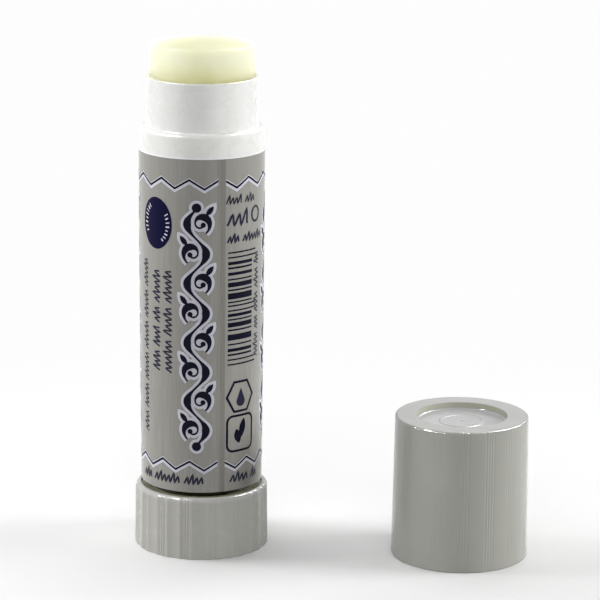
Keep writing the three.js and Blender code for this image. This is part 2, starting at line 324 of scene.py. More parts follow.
def tinted(tree, source, dark, light):
    """A colour between two others, by a noise."""
    ramp = tree.nodes.new("ShaderNodeValToRGB")
    ramp.color_ramp.elements[0].position = NOISE_LOW
    ramp.color_ramp.elements[1].position = NOISE_HIGH
    ramp.color_ramp.elements[0].color = (*dark, 1)
    ramp.color_ramp.elements[1].color = (*light, 1)
    tree.links.new(source, ramp.inputs["Fac"])
    return ramp.outputs["Color"]


def bumped(tree, shader, sources):
    """Bumps laid over each other: each is a noise output, a strength and a height in mm."""
    last = None
    for source, strength, height in sources:
        bump = tree.nodes.new("ShaderNodeBump")
        bump.inputs["Strength"].default_value = strength
        bump.inputs["Distance"].default_value = height * MM
        tree.links.new(source, bump.inputs["Height"])
        if last is not None:
            tree.links.new(last, bump.inputs["Normal"])
        last = bump.outputs["Normal"]
    tree.links.new(last, shader.inputs["Normal"])


def moulded(name, dark, light, rough, subsurface=0.0, specular=0.5, wave=0.02, powdery=0.6):
    """Injection-moulded plastic: faint flow clouds, uneven gloss and a barely wavy skin."""
    material = bpy.data.materials.new(name)
    tree, shader = node_tree(material)
    clouds = noise(tree, 260, 3.0, 0.55, (1, 1, 0.45))
    patches = noise(tree, 420, 2.0)
    tree.links.new(tinted(tree, clouds.outputs["Fac"], dark, light), shader.inputs["Base Color"])
    tree.links.new(ranged(tree, patches.outputs["Fac"], rough - 0.02, rough + 0.03),
                   shader.inputs["Roughness"])
    bumped(tree, shader, [(patches.outputs["Fac"], 0.5, wave)])
    shader.inputs["Specular IOR Level"].default_value = specular
    shader.inputs["Diffuse Roughness"].default_value = powdery
    if subsurface:
        shader.inputs["Subsurface Weight"].default_value = subsurface
        shader.inputs["Subsurface Radius"].default_value = (1.0, 0.9, 0.75)
        shader.inputs["Subsurface Scale"].default_value = 1.2 * MM
    return material


def zoned(material, limits, factor=None, rough=None, axis=(0, 0)):
    """Another tone or gloss inside all limits, each (what, low, high, soft) in millimetres;
    what is "radius" from an upright axis, "height" or "across" for X."""
    tree = material.node_tree
    shader = next(n for n in tree.nodes if n.type == "BSDF_PRINCIPLED")
    place = own_place(tree)
    flat = tree.nodes.new("ShaderNodeCombineXYZ")
    tree.links.new(place["X"], flat.inputs["X"])
    tree.links.new(place["Y"], flat.inputs["Y"])
    distance = tree.nodes.new("ShaderNodeVectorMath")
    distance.operation = "DISTANCE"
    tree.links.new(flat.outputs["Vector"], distance.inputs[0])
    distance.inputs[1].default_value = (axis[0] * MM, axis[1] * MM, 0)
    sources = {"radius": distance.outputs["Value"], "height": place["Z"], "across": place["X"]}
    inside = None
    for what, low, high, soft in limits:
        for edge, start, end in ((low, 0, 1), (high, 1, 0)):
            step = mapped(tree, sources[what], (edge - soft) * MM, (edge + soft) * MM, start, end)
            inside = step if inside is None else calculated(tree, "MULTIPLY", inside, step)
    if factor:
        socket = shader.inputs["Base Color"]
        whole = socket.links[0].from_socket
        tree.links.new(mixed(tree, inside, whole, (*factor, 1), blend="MULTIPLY"), socket)
    if rough:
        socket = shader.inputs["Roughness"]
        whole = socket.links[0].from_socket
        tree.links.new(mixed(tree, inside, whole, rough, kind="FLOAT"), socket)


def printed_film(name, dark, light, rough):
    """Satin plastic film: a faint lengthwise grain from the roll."""
    material = bpy.data.materials.new(name)
    tree, shader = node_tree(material)
    grain = noise(tree, 2200, 3.0, 0.6, (1, 1, 0.08))
    patches = noise(tree, 420, 2.0)
    tree.links.new(tinted(tree, grain.outputs["Fac"], dark, light), shader.inputs["Base Color"])
    tree.links.new(ranged(tree, patches.outputs["Fac"], rough - 0.04, rough + 0.05),
                   shader.inputs["Roughness"])
    bumped(tree, shader, [(patches.outputs["Fac"], 0.2, 0.03), (grain.outputs["Fac"], 0.1, 0.002)])
    return material


def ink(name, dark, light, rough, specular=0.5):
    """Printing ink with slightly uneven cover."""
    material = bpy.data.materials.new(name)
    tree, shader = node_tree(material)
    cover = noise(tree, 3200, 3.0, 0.6)
    tree.links.new(tinted(tree, cover.outputs["Fac"], dark, light), shader.inputs["Base Color"])
    tree.links.new(ranged(tree, cover.outputs["Fac"], rough - 0.05, rough + 0.08),
                   shader.inputs["Roughness"])
    shader.inputs["Specular IOR Level"].default_value = specular
    return material


# The glue's own colour deep in the column, then each painted tone that takes over from the one
# before it between two depths under the column's end, in millimetres; these tones are painted
# light and shade for how light falls on and through the glue near its end
GLUE_DEEP = ((0.77, 0.76, 0.45), (0.80, 0.79, 0.50))
GLUE_PAINTED_LIGHT = ((9.0, 5.6, (0.94, 0.865, 0.355), (0.975, 0.91, 0.43)),
              (7.0, 1.5, (0.715, 0.715, 0.43), (0.755, 0.755, 0.48)),
              (1.2, 0.1, (0.80, 0.80, 0.41), (0.82, 0.82, 0.46)))


def waxy_glue(name):
    """Pale, slightly translucent solid adhesive, its colour changed by height near its end as
    painted light and shade.
    """
    material = bpy.data.materials.new(name)
    tree, shader = node_tree(material)
    clouds = noise(tree, 330, 3.0, 0.6, (1, 1, 0.8))
    fine = noise(tree, 2500, 2.0, 0.5)
    height = own_place(tree)["Z"]
    colour = tinted(tree, clouds.outputs["Fac"], *GLUE_DEEP)
    # Painted light and shade: the colour changes by height under the column's end
    for low, high, dark, light in GLUE_PAINTED_LIGHT:
        rise = mapped(tree, height, (GLUE_TOP - low) * MM, (GLUE_TOP - high) * MM, smooth=True)
        colour = mixed(tree, rise, colour, tinted(tree, clouds.outputs["Fac"], dark, light))
    tree.links.new(colour, shader.inputs["Base Color"])
    tree.links.new(ranged(tree, clouds.outputs["Fac"], 0.56, 0.66), shader.inputs["Roughness"])
    shader.inputs["Specular IOR Level"].default_value = 0.2
    bumped(tree, shader, [(clouds.outputs["Fac"], 0.2, 0.05), (fine.outputs["Fac"], 0.2, 0.004)])
    shader.inputs["Subsurface Weight"].default_value = 1.0
    shader.inputs["Subsurface Radius"].default_value = (1.0, 0.97, 0.75)
    shader.inputs["Subsurface Scale"].default_value = 31.0 * MM
    return material


# A limit that nothing reaches
BEYOND = 99

# The knob's zones, with light and shade painted into its colour: a painted sheen lightening its
# rim, painted shade darkening the ledge inside the rim, and painted shade darkening the hollow
# further in and, most of all, its middle
KNOB_GREY = moulded("silver_grey_knob", (0.450, 0.447, 0.419), (0.475, 0.472, 0.443), 0.26,
                    specular=0.2, wave=0.006, powdery=1.0)
# Painted shade: where the hollow under the barrel's foot is darkened
HOLLOW_SHADE_ZONE = [("radius", 4.8, 7.76, 0.03), ("height", 8.5, 9.78, 0.03)]
# Painted highlight: the rim's colour is made lighter for the sheen it catches
zoned(KNOB_GREY, [("radius", KNOB_RIM_R, BEYOND, 0.1), ("height", 9.1, BEYOND, 0.15)],
      factor=(1.1, 1.1, 1.13), rough=0.18)
# Painted shade: the ledge under the barrel's foot is darkened and tinted olive
zoned(KNOB_GREY, [("radius", 7.76, 9.47, 0.03), ("height", 9.3, 9.78, 0.03)],
      factor=(0.62, 0.60, 0.44))
# Painted shade: the hollow is darkened
zoned(KNOB_GREY, HOLLOW_SHADE_ZONE, factor=(0.42, 0.42, 0.34))
# Painted shade: the hollow is darkened most across its middle
zoned(KNOB_GREY, HOLLOW_SHADE_ZONE + [("across", -6, 6, 2.5)], factor=(0.24, 0.24, 0.16))

# The cap's zones, with light painted into their colour: its top ring and the floor of its recess
# are painted lighter, and the recess's wall is painted lighter and yellower, for the light and
# sheen they catch
CAP_AXIS = (CAP_X, CAP_Y)
CAP_GREY = moulded("silver_grey_cap", (0.353, 0.353, 0.320), (0.375, 0.375, 0.341), 0.11,
                   wave=0.006)
# Painted light: the top ring is made lighter for the light and sheen it catches from above
zoned(CAP_GREY, [("radius", 7.1, 9.96, 0.03), ("height", 22.0, BEYOND, 0.05)],
      factor=(1.27, 1.27, 1.37), axis=CAP_AXIS)
# Painted light: the floor of the recess is made lighter
zoned(CAP_GREY, [("radius", -BEYOND, 6.88, 0.06), ("height", 20.9, 21.42, 0.08)],
      factor=(1.49, 1.49, 1.66), rough=0.2, axis=CAP_AXIS)
# Painted light: the recess's wall is made lighter and yellower for how light falls on it
zoned(CAP_GREY, [("radius", 6.86, 7.04, 0.03), ("height", 21.46, 22.12, 0.08)],
      factor=(1.10, 1.10, 0.98), axis=CAP_AXIS)

WHITE = moulded("white_plastic", (0.74, 0.74, 0.72), (0.78, 0.78, 0.76), 0.27,
                subsurface=0.25, specular=0.4, wave=0.004)
SPINDLE = moulded("spindle_plastic", (0.44, 0.435, 0.41), (0.50, 0.495, 0.47), 0.42)
CARRIER = moulded("carrier_plastic", (0.80, 0.80, 0.77), (0.86, 0.86, 0.83), 0.4, subsurface=0.2)
FILM = printed_film("grey_film", (0.221, 0.214, 0.195), (0.249, 0.243, 0.222), 0.2)
FILM_DOUBLE = printed_film("grey_film_seam", (0.215, 0.209, 0.190), (0.243, 0.237, 0.216), 0.22)
zoned(FILM_DOUBLE, [("across", 3.05, 3.95, 0.18)], factor=(0.70, 0.69, 0.67))
# Painted highlight: near-white colour along the film's top edge for the light its cut edge catches
FILM_EDGE_HIGHLIGHT = ink("film_edge_painted_highlight", (0.80, 0.80, 0.83), (0.90, 0.90, 0.94), 0.4)
NAVY = ink("navy_ink", (0.002, 0.002, 0.008), (0.004, 0.004, 0.014), 0.34, specular=0.08)
BADGE = ink("badge_ink", (0.002, 0.002, 0.018), (0.004, 0.003, 0.030), 0.34, specular=0.06)
SLATE = ink("slate_ink", (0.008, 0.008, 0.022), (0.014, 0.014, 0.034), 0.34, specular=0.2)
PAPER_WHITE = ink("white_ink", (0.46, 0.46, 0.52), (0.51, 0.51, 0.57), 0.4)
GLUE = waxy_glue("pale_glue")

for node, material in (("spindle", SPINDLE), ("carrier", CARRIER)):
    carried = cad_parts[node]
    carried.data.materials.clear()
    carried.data.materials.append(material)


# Mouldings

# A station is an azimuth round a fluted skin and the depth of its flutes there

def grooved(stations, centre, grooves, pitch, base, depth):
    """Adds a stretch of rounded V grooves, centred on an angle, to a list of stations."""
    start = centre - grooves * pitch / 2
    for i in range(grooves * GROOVE_STEPS + 1):
        t = i / GROOVE_STEPS
        fall = 0.5 - 0.5 * math.cos(2 * math.pi * t)
        stations.append((start + t * pitch, base + depth * fall ** 1.4))


def knob_stations():
    """Round the knob: a grooved band and a hollow one, in turns."""
    pair = FULL / KNOB_PAIRS
    band = pair * KNOB_GROOVED_SHARE
    plain = pair - band
    lead = (band - KNOB_GROOVES * KNOB_GROOVE_PITCH) / 2
    stations = []
    for i in range(KNOB_PAIRS):
        start = KNOB_TURN + i * pair
        slope = [(0, KNOB_BAND_EDGE), (lead * 0.25, KNOB_BAND_EDGE + KNOB_GROOVED_DEPTH * 0.2),
                 (lead * 0.6, KNOB_GROOVED_DEPTH * 0.75)]
        stations += [(start + along, depth) for along, depth in slope]
        grooved(stations, start + band / 2, KNOB_GROOVES, KNOB_GROOVE_PITCH,
                KNOB_GROOVED_DEPTH, KNOB_GROOVE_DEPTH)
        stations += [(start + band - along, depth) for along, depth in reversed(slope)]
        for k in range(1, KNOB_PLAIN_STEPS):
            t = k / KNOB_PLAIN_STEPS
            bowl = (KNOB_PLAIN_DEPTH - KNOB_BAND_EDGE) * 4 * t * (1 - t)
            stations.append((start + band + t * plain, KNOB_BAND_EDGE + bowl))
    return stations


def cap_stations():
    """Round the cap: groups of fine grooves with plain skin between them."""
    group = FULL / CAP_GROUPS
    band = CAP_GROOVES * CAP_GROOVE_PITCH
    stations = []
    for i in range(CAP_GROUPS):
        centre = CAP_TURN + i * group
        grooved(stations, centre, CAP_GROOVES, CAP_GROOVE_PITCH, 0, CAP_GROOVE_DEPTH)
        for k in range(1, CAP_PLAIN_STEPS):
            stations.append((centre + band / 2 + k / CAP_PLAIN_STEPS * (group - band), 0))
    return stations


def fluted_rings(stations, path):
    """Rings along a path of (radius, height, share of the flutes' depth)."""
    rings = []
    for radius, height, share in path:
        if radius == 0:
            rings.append([(0, 0, height)])
        else:
            rings.append([polar(radius - share * depth, azimuth, height)
                          for azimuth, depth in stations])
    return ringed(rings)


def sharing(points, share):
    """Profile points that all take the same share of the flutes' depth."""
    return [(radius, height, share) for radius, height in points]


def make_knob():
    """The knob, with its hub and webs underneath and the hollow under the barrel's foot."""
    skirt_low = KNOB_BASE_R - KNOB_SKIRT
    skirt_high = KNOB_TOP_R - KNOB_SKIRT
    underside = KNOB_HEIGHT - KNOB_DISC
    path = [(0, 0, 0), (KNOB_HUB_R - 0.15, 0, 0), (KNOB_HUB_R, 0.15, 0)]
    path += [(KNOB_HUB_R, underside, 0), (skirt_high, underside, 0)]
    path += [(skirt_low, 0.2, 0), (skirt_low + 0.2, 0, 0)]
    foot = KNOB_FOOT_ROUND
    path += sharing(rounded_corner(KNOB_BASE_R - foot, foot, foot, -90, 0, 4), 1)
    wall_top = KNOB_HEIGHT - KNOB_ROUND
    draft = (KNOB_TOP_R - KNOB_BASE_R) / KNOB_HEIGHT
    path.append((KNOB_BASE_R + draft * wall_top / 2, wall_top / 2, 1))
    edge = rounded_corner(KNOB_TOP_R - KNOB_ROUND, wall_top, KNOB_ROUND, 0, 90, 10)
    path += [(r, z, 1 - 0.5 * i / len(edge)) for i, (r, z) in enumerate(edge)]
    ledge = KNOB_HEIGHT - KNOB_LEDGE_DROP
    hollow = KNOB_HEIGHT - KNOB_HOLLOW_DROP
    collar_foot = KNOB_COLLAR_R + 0.2
    path += [(KNOB_RIM_R, KNOB_HEIGHT, 0), (KNOB_RIM_R - 0.08, KNOB_HEIGHT - 0.1, 0)]
    path += [(KNOB_LEDGE_OUT_R, ledge, 0), (KNOB_LEDGE_IN_R, ledge, 0)]
    path += [(KNOB_HOLLOW_R, hollow, 0), (collar_foot, hollow, 0), (collar_foot, KNOB_HEIGHT, 0)]
    path += [(KNOB_COLLAR_R, KNOB_HEIGHT, 0)]
    path += [(KNOB_COLLAR_R, KNOB_COLLAR_TOP, 0), (0, KNOB_COLLAR_TOP, 0)]
    parts = [fluted_rings(knob_stations(), path)]
    length = KNOB_BASE_R - KNOB_SKIRT / 2 - KNOB_HUB_R
    for i in range(KNOB_WEBS):
        parts.append(box_faces(length, KNOB_WEB_THICKNESS, KNOB_WEB_RECESS, underside + 0.2,
                               KNOB_HUB_R - 0.2 + length / 2, (i + 0.5) * FULL / KNOB_WEBS))
    points, faces = joined(parts)
    made = add_object("knob_moulding", mesh_from("knob_moulding", points, faces), KNOB_GREY, 28)
    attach(made, "knob")
    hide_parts("knob")


def make_cap():
    """The cap, with its ribs inside and the ring and gate mark in its recess."""
    inner = CAP_CEILING_ROUND
    path = [(0, CAP_CEILING, 0), (CAP_INNER_R - inner, CAP_CEILING, 0)]
    path += sharing(rounded_corner(CAP_INNER_R - inner, CAP_CEILING - inner, inner, 90, 0, 5), 0)
    path += [(CAP_INNER_R, CAP_BAND_DEPTH + 0.4, 0), (CAP_BAND_R, CAP_BAND_DEPTH, 0)]
    path += [(CAP_BAND_R, 0.15, 0), (CAP_BAND_R + 0.15, 0, 0)]
    foot = CAP_FOOT_ROUND
    path += sharing(rounded_corner(CAP_MOUTH_R - foot, foot, foot, -90, 0, 4), 1)
    wall_top = CAP_HEIGHT - CAP_ROUND
    draft = (CAP_TOP_R - CAP_MOUTH_R) / CAP_HEIGHT
    path.append((CAP_MOUTH_R + draft * wall_top / 2, wall_top / 2, 1))
    edge = rounded_corner(CAP_TOP_R - CAP_ROUND, wall_top, CAP_ROUND, 0, 90, 8)
    path += [(r, z, 1 + 1.8 * math.sin(math.pi * i / len(edge))) for i, (r, z) in enumerate(edge)]
    path += [(CAP_TOP_R - CAP_ROUND - 0.25, CAP_HEIGHT, 0), (CAP_RECESS_R + 0.2, CAP_HEIGHT, 0)]
    lip = CAP_RECESS_LIP
    path += sharing(rounded_corner(CAP_RECESS_R + lip, CAP_HEIGHT - lip, lip, 90, 180, 3), 0)
    floor = CAP_HEIGHT - CAP_RECESS
    fillet = CAP_RECESS_FILLET
    path += sharing(rounded_corner(CAP_RECESS_R - fillet, floor + fillet, fillet, 0, -90, 6), 0)
    gate = floor - CAP_GATE_DEPTH
    path += [(0.42, floor, 0), (0.3, gate, 0), (0.16, gate, 0), (0.1, floor, 0), (0, floor, 0)]
    parts = [fluted_rings(cap_stations(), path)]
    ring = [(CAP_RING_R - CAP_RING_HALF, floor - CAP_RING_ROOT)]
    ring += [(CAP_RING_R + CAP_RING_HALF * r, floor + CAP_RING_RISE * h)
             for r, h in arc(1, 180, 0, 10)]
    ring += [(CAP_RING_R + CAP_RING_HALF, floor - CAP_RING_ROOT)]
    parts.append(turned(ring, 180, closed=True))
    for i in range(CAP_RIBS):
        length = CAP_INNER_R + 0.4 - CAP_RIB_TIP_R
        parts.append(box_faces(length, CAP_RIB_WIDTH, CAP_RIB_LOW, CAP_RIB_TOP,
                               CAP_RIB_TIP_R + length / 2, (i + 0.5) * FULL / CAP_RIBS))
    points, faces = joined(parts)
    mesh = mesh_from("cap_moulding", points, faces)
    mesh.transform(Matrix.Translation((CAP_X, CAP_Y, 0)))
    made = add_object("cap_moulding", mesh, CAP_GREY, 28)
    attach(made, "cap")
    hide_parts("cap")


def make_barrel():
    """The barrel: foot, shoulder, neck and lip, and the bore with its two keys."""
    shoulder_low = SHOULDER - SHOULDER_ROUND
    outside = [(HOLE_R, BARREL_FOOT), (BARREL_FOOT_R - 0.15, BARREL_FOOT)]
    outside += [(BARREL_FOOT_R, BARREL_FOOT + 0.15)]
    outside += rounded_corner(BARREL_SHOULDER_R - SHOULDER_ROUND, shoulder_low,
                              SHOULDER_ROUND, 0, 80, 8)
    outside += rounded_corner(NECK_R + 0.18, SHOULDER + 0.16, 0.18, 270, 180, 5)
    outside += rounded_corner(NECK_R - 0.14, LIP - 0.14, 0.14, 0, 90, 5)
    outside += rounded_corner(BORE_LIP_R + 0.06, LIP - 0.06, 0.06, 90, 180, 3)
    inside = [(BORE_FLOOR_R, FLOOR_TOP + 0.3), (BORE_FLOOR_R - 0.3, FLOOR_TOP)]
    inside += [(HOLE_R, FLOOR_TOP)]
    parts = [turned(outside + inside, 256, closed=True)]
    for azimuth in (0, 180):
        parts.append(box_faces(KEY_DEPTH, KEY_WIDTH, FLOOR_TOP - 0.3, KEY_TOP,
                               KEY_TIP_R + KEY_DEPTH / 2, azimuth))
    points, faces = joined(parts)
    made = add_object("barrel_moulding", mesh_from("barrel_moulding", points, faces), WHITE)
    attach(made, "barrel")
    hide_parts("barrel")


def make_glue():
    """The column of glue, its end a little hollowed as it dries."""
    edge = GLUE_ROUND
    profile = [(0, GLUE_BASE), (GLUE_FOOT_R, GLUE_BASE)]
    profile += rounded_corner(GLUE_R - edge, GLUE_TOP - edge, edge, 0, 90, 6)
    profile += [(GLUE_R - 0.9, GLUE_TOP - 0.02), (GLUE_R * 0.7, GLUE_TOP - 0.05)]
    profile += [(GLUE_R * 0.35, GLUE_TOP - 0.07), (0, GLUE_TOP - 0.08)]
    points, faces = turned(profile, 192)
    made = add_object("glue_column", mesh_from("glue_column", points, faces), GLUE, 60)
    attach(made, "carrier")
    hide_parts("glue_stick")


# Label

def label_radius(height):
    """The label's outer radius at a height."""
    rise = (height - BARREL_FOOT) / (SHOULDER - BARREL_FOOT)
    return BARREL_FOOT_R + (BARREL_SHOULDER_R - BARREL_FOOT_R) * rise + LABEL_STAND


def on_label(angle, height, stand):
    """A point on the label; the angle is from the front, towards the cap."""
    return polar(label_radius(height) + stand, angle - 90, height)


def label_shell(name, start, end, bottom, top, outer, material, steps):
    """A closed curved plate between two angles and two heights, its back just inside the wall."""
    inner = LABEL_BURIED
    rings = []
    for i in range(steps + 1):
        angle = start + (end - start) * i / steps
        ring = [on_label(angle, bottom, inner), on_label(angle, bottom, outer),
                on_label(angle, (bottom + top) / 2, outer),
                on_label(angle, top, outer), on_label(angle, top, inner)]
        rings.append(ring)
    points, faces = ringed(rings)
    count = len(rings[0])
    faces.append(tuple(range(count)))
    faces.append(tuple(len(points) - 1 - i for i in range(count)))
    made = add_object(name, mesh_from(name, points, faces), material)
    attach(made, "barrel")
    return made


def make_label():
    """The film, doubled at its seam, and a painted highlight as a near-white band along its cut
    edge at the top.
    """
    cut = LABEL_TOP - LABEL_CUT_EDGE
    once, twice = (SEAM_END, SEAM_START + FULL), (SEAM_START, SEAM_END)
    film = label_shell("label_film", *once, LABEL_BOTTOM, cut, 0, FILM, 250)
    label_shell("label_seam", *twice, LABEL_BOTTOM, cut, 0.035, FILM_DOUBLE, 6)
    label_shell("label_top_edge", *once, cut, LABEL_TOP, -0.005, FILM_EDGE_HIGHLIGHT, 250)
    label_shell("label_top_edge_seam", *twice, cut, LABEL_TOP, 0.03, FILM_EDGE_HIGHLIGHT, 6)
    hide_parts("label")


# Printing on the label: flat shapes in (angle, height) laid over the film

MEAN_R = 9.6
DEGREE_MM = math.radians(1) * MEAN_R
PRINT_STEP = 0.35
PATH_STEP = 0.4
SCROLL_LOW = 18.2
SCROLL_HIGH = 55.2
ZIGZAG_START = 21.6
ZIGZAG_STEPS = 26
BADGE_ANGLE = -43.7
FOOT_PRINT_HEIGHT = 12.6


def printed(name, shapes, stand, material):
    """One object from many flat shapes, each a list of rows of (angle, height) points."""
    parts = []
    for rows in shapes:
        points, faces = [], []
        spread = max(max(a for a, h in row) - min(a for a, h in row) for row in rows)
        pieces = max(1, math.ceil(spread * DEGREE_MM / PRINT_STEP))
        rows = [[(first[0] + (last[0] - first[0]) * k / pieces,
                  first[1] + (last[1] - first[1]) * k / pieces) for k in range(pieces + 1)]
                for first, last in rows]
        width = len(rows[0])
        for row in rows:
            points.extend(on_label(angle, height, stand) for angle, height in row)
        for r in range(len(rows) - 1):
            for c in range(width - 1):
                a = r * width + c
                faces.append((a, a + 1, a + width + 1, a + width))
        parts.append((points, faces))
    points, faces = joined(parts)
    made = add_object(name, mesh_from(name, points, faces, solid=False), material)
    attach(made, "barrel")
    return made


def stroke(path, widths, closed=False):
    """A ribbon of two-point rows along a path in millimetres, with mitred corners."""
    rows = []
    count = len(path)
    for i in range(count):
        before = path[i - 1] if i or closed else None
        after = path[(i + 1) % count] if i < count - 1 or closed else None
        here = Vector(path[i])
        into = (here - Vector(before)).normalized() if before else None
        out = (Vector(after) - here).normalized() if after else None
        into = into or out
        out = out or into
        side_in = Vector((-into.y, into.x))
        side_out = Vector((-out.y, out.x))
        side = (side_in + side_out).normalized()
        reach = min(1 / max(side.dot(side_in), 0.4), 2.2)
        half = (widths[i] if isinstance(widths, (list, tuple)) else widths) / 2
        rows.append([here + side * half * reach, here - side * half * reach])
    if closed:
        rows.append(rows[0])
    return [[(p.x / DEGREE_MM, p.y) for p in row] for row in rows]


def finer(path, closed=False):
    """The same path with points at most a step apart."""
    out = []
    pairs = list(zip(path, path[1:] + path[:1] if closed else path[1:]))
    for a, b in pairs:
        pieces = max(1, math.ceil((Vector(b) - Vector(a)).length / PATH_STEP))
        for k in range(pieces):
            out.append(tuple(Vector(a).lerp(Vector(b), k / pieces)))
    if not closed:
        out.append(path[-1])
    return out


def ellipse_fill(angle, height, half_width, half_height, steps=24):
    """A filled ellipse as columns, sizes in millimetres."""
    rows = []
    for i in range(steps + 1):
        a = math.pi * i / steps
        x = -half_width * math.cos(a)
        y = half_height * math.sin(a)
        rows.append([(angle + x / DEGREE_MM, height - y), (angle + x / DEGREE_MM, height + y)])
    return rows


def bar(angle, height, width, tall):
    """A filled upright rectangle as columns, sizes in millimetres."""
    steps = max(1, math.ceil(width / 0.5))
    rows = []
    for i in range(steps + 1):
        x = angle + (-width / 2 + width * i / steps) / DEGREE_MM
        rows.append([(x, height - tall / 2), (x, height + tall / 2)])
    return rows


def leaf(angle, height, length, width, lean):
    """A filled pointed leaf, sizes in millimetres, leaning by an angle in degrees."""
    rows = []
    steps = 10
    for i in range(steps + 1):
        t = i / steps
        half = width / 2 * math.sin(math.pi * t) ** 0.8
        along = (t - 0.5) * length
        a = math.radians(lean)
        ends = []
        for side in (-half, half):
            x = along * math.cos(a) - side * math.sin(a)
            y = along * math.sin(a) + side * math.cos(a)
            ends.append((angle + x / DEGREE_MM, height + y))
        rows.append(ends)
    return rows


def zigzag(name, high, low):
    """The zigzag border, from one side of the seam round to the other."""
    half = (SEAM_START + FULL + 1.1 - ZIGZAG_START) / ZIGZAG_STEPS
    corners = [((ZIGZAG_START + k * half) * DEGREE_MM, low if k % 2 else high)
               for k in range(ZIGZAG_STEPS + 1)]
    path = finer(corners)
    under = [(x, z - 0.15) for x, z in path]
    printed(name + "_halo", [stroke(under, 0.82)], INK_WHITE, PAPER_WHITE)
    printed(name + "_line", [stroke(path, 0.3)], INK_NAVY, NAVY)


def scribble(angle, height, length, tall, weight, seed, upright=False):
    """A waving pen line broken into runs, standing for a line of small print; the lengths of
    its runs and waves come from the seed by whole-number steps."""
    shapes = []
    at = 0.0
    k = seed
    while length - at > tall:
        k = (k * 7 + 3) % 11
        run = min(tall * (1.7 + 0.5 * (k % 5)), length - at)
        waves = max(2, round(run / (tall * 0.62)))
        path = []
        peaks = []
        for i in range(waves + 1):
            k = (k * 7 + 5) % 13
            peaks.append(1.0 if k % 4 == 0 else 0.7)
        for i in range(waves * 8 + 1):
            t = i / 8
            swing = 0.5 - 0.5 * math.cos(2 * math.pi * t)
            rise = tall * swing * peaks[int(t)]
            along = at + run * t / waves + 0.2 * rise - length / 2
            up = rise - tall * 0.45
            if upright:
                path.append((angle * DEGREE_MM - up, height + along))
            else:
                path.append((angle * DEGREE_MM + along, height + up))
        shapes.append(stroke(path, weight))
        at += run + tall * 0.6
    return shapes


def scroll(centre, bottom, top):
    """A scroll ornament up the label: a waving stem with a curl and a bud in each bend."""
    bends = 8
    pitch = (top - bottom) / bends
    marks, halos = [], []

    def ribbon(path, widths):
        marks.append(stroke(path, widths))
        halos.append(stroke(path, [w + 0.86 for w in widths]))

    def bud(x, z, radius):
        marks.append(ellipse_fill(x / DEGREE_MM, z, radius, radius, 16))
        halos.append(ellipse_fill(x / DEGREE_MM, z, radius + 0.42, radius + 0.42, 20))

    middle = centre * DEGREE_MM
    path, widths = [], []
    for i in range(bends * 24 + 1):
        t = i / 24
        side = math.sin(math.pi * t)
        path.append((middle + 1.45 * side, bottom + pitch * t))
        widths.append(0.32 + 0.9 * abs(side) ** 3)
    ribbon(path, widths)
    bud(middle, bottom - 0.2, 0.72)
    bud(middle, top + 0.2, 0.72)
    for b in range(bends):
        side = 1 if b % 2 else -1
        heart = bottom + (b + 0.5) * pitch
        path, widths = [], []
        for i in range(31):
            t = i / 30
            turn = math.radians(-62 + 400 * t)
            reach = 1.62 - 1.2 * t ** 0.8
            path.append((middle + side * (0.62 + reach * math.cos(turn)),
                         heart + 0.05 + reach * 1.02 * math.sin(turn)))
            widths.append(0.28 + 0.84 * math.sin(math.pi * min(1, t * 1.7)) ** 2
                          if t < 0.59 else 0.26 + 0.2 * (t - 0.59))
        ribbon(path, widths)
        bud(path[-1][0], path[-1][1], 0.4)
        marks.append(leaf((middle + side * 2.0) / DEGREE_MM, heart + pitch * 0.44, 1.9, 0.8,
                          90 - side * 38))
        halos.append(leaf((middle + side * 2.0) / DEGREE_MM, heart + pitch * 0.44, 3.2, 1.7,
                          90 - side * 38))
    return marks, halos


def regular_polygon(angle, height, radius, sides, turn=0.0, squash=1.0):
    """Corners of a regular polygon in millimetres."""
    corners = []
    for k in range(sides):
        a = math.radians(turn + FULL * k / sides)
        corners.append((angle * DEGREE_MM + squash * radius * math.cos(a),
                        height + radius * math.sin(a)))
    return corners


def rounded_square(angle, height, width, tall, corner):
    """The outline of a square with round corners, in millimetres."""
    points = []
    for qx, qy, start in ((1, 1, 0), (-1, 1, 90), (-1, -1, 180), (1, -1, 270)):
        for x, y in arc(corner, start, start + 90, 5):
            points.append((angle * DEGREE_MM + qx * (width / 2 - corner) + x,
                           height + qy * (tall / 2 - corner) + y))
    return points


def drop(angle, height, size):
    """A filled drop as columns."""
    rows = []
    steps = 14
    for i in range(steps + 1):
        x = (2 * i / steps - 1) * size * 0.5
        low = height - size * 0.35 - math.sqrt(max(0, (size * 0.5) ** 2 - x * x)) * 0.95
        high = height - size * 0.35 + (1 - abs(2 * x / size)) ** 0.9 * size * 1.25
        rows.append([(angle + x / DEGREE_MM, low), (angle + x / DEGREE_MM, max(low, high))])
    return rows


def badge(angle, height):
    """The oval badge, and its marks: a row of short strokes inside each long side."""
    marks = []
    for side in (-1, 1):
        for k in range(8):
            a = math.radians(side * (k - 3.5) * 12 - 14)
            for_x, for_z = side * math.cos(a), side * math.sin(a)
            near = (angle * DEGREE_MM + 1.95 * for_x, height + 2.75 * for_z)
            reach = 2.6 if k % 3 else 2.45
            far = (angle * DEGREE_MM + reach * for_x, height + 3.3 * for_z + 0.12)
            marks.append(stroke([near, far], 0.17 if k % 2 else 0.24))
    return [ellipse_fill(angle, height, 3.0, 4.0, 36)], marks


def stripes(angle, low, high):
    """A block of stripes of uneven thickness, a few of them longer."""
    shapes = []
    z = low
    k = 5
    while z < high:
        k = (k * 5 + 3) % 16
        tall = (0.24, 0.5, 0.27, 0.95, 0.24, 0.72, 0.3, 0.48)[k % 8]
        ends = z - low < 1.3 or high - z < 1.3 or abs(z - (low + high) / 2) < 0.5
        tall = 0.24 if ends else tall
        width = 5.6 if ends else 4.7
        shapes.append(bar(angle + (width - 4.7) / 2 / DEGREE_MM, z + tall / 2, width, tall))
        z += tall + (0.34 if k % 3 else 0.52)
    return shapes


